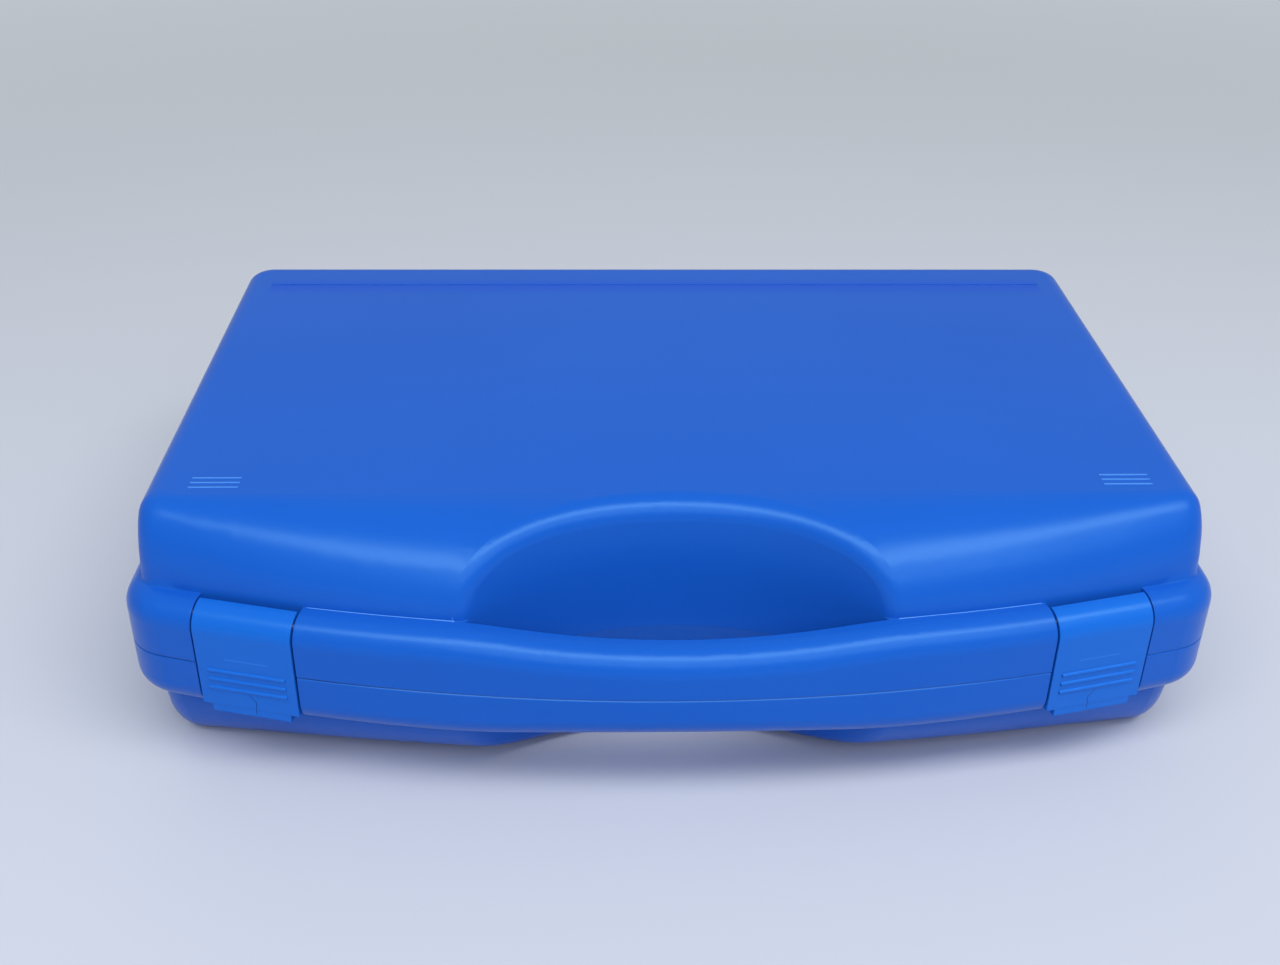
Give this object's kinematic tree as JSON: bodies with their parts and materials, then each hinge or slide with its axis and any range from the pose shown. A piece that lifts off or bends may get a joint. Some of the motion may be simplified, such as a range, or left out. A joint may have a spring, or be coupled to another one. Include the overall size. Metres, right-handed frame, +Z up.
{
  "type": "hard tool case",
  "caption": "Hard plastic tool case with a bowed front, moulded-in carry handle, snap latches, hinged lid and foam lining",
  "frame": {"origin": "on the floor, under the middle of the overall box of the closed case", "axes": "+Z up, handle and latches face -Y, hinges at +Y, +X to the right when the case is seen from the handle side"},
  "size_m": [0.3544, 0.2468, 0.0923],
  "materials": {
    "blue_polypropylene": "satin injection moulding with a fine even texture",
    "blue_latch_plastic": "satin injection moulding, the same blue as the shells",
    "steel_pin": "drawn steel wire, bright",
    "grey_foam": "open-cell foam, dark grey"
  },
  "bodies": {
    "base": {"base_shell": "blue_polypropylene", "base_foam": "grey_foam", "hinge_pin_left": "steel_pin", "hinge_pin_right": "steel_pin"},
    "lid": {"lid_shell": "blue_polypropylene", "lid_foam": "grey_foam", "latch_pin_left": "steel_pin", "latch_pin_right": "steel_pin"},
    "left_latch": {"latch_left": "blue_latch_plastic"},
    "right_latch": {"latch_right": "blue_latch_plastic"}
  },
  "joints": [
    {"name": "lid_hinge", "type": "hinge", "parent": "base", "child": "lid", "pos_m": [0, 0.11835, 0.046], "axis": [-1, 0, 0], "range_deg": [0, 105]},
    {"name": "left_latch_pivot", "type": "hinge", "parent": "lid", "child": "left_latch", "pos_m": [-0.13486, -0.10201, 0.0625], "axis": [-0.97, 0.2431, 0], "range_deg": [0, 75]},
    {"name": "right_latch_pivot", "type": "hinge", "parent": "lid", "child": "right_latch", "pos_m": [0.13486, -0.10201, 0.0625], "axis": [-0.97, -0.2431, 0], "range_deg": [0, 75]}
  ]
}
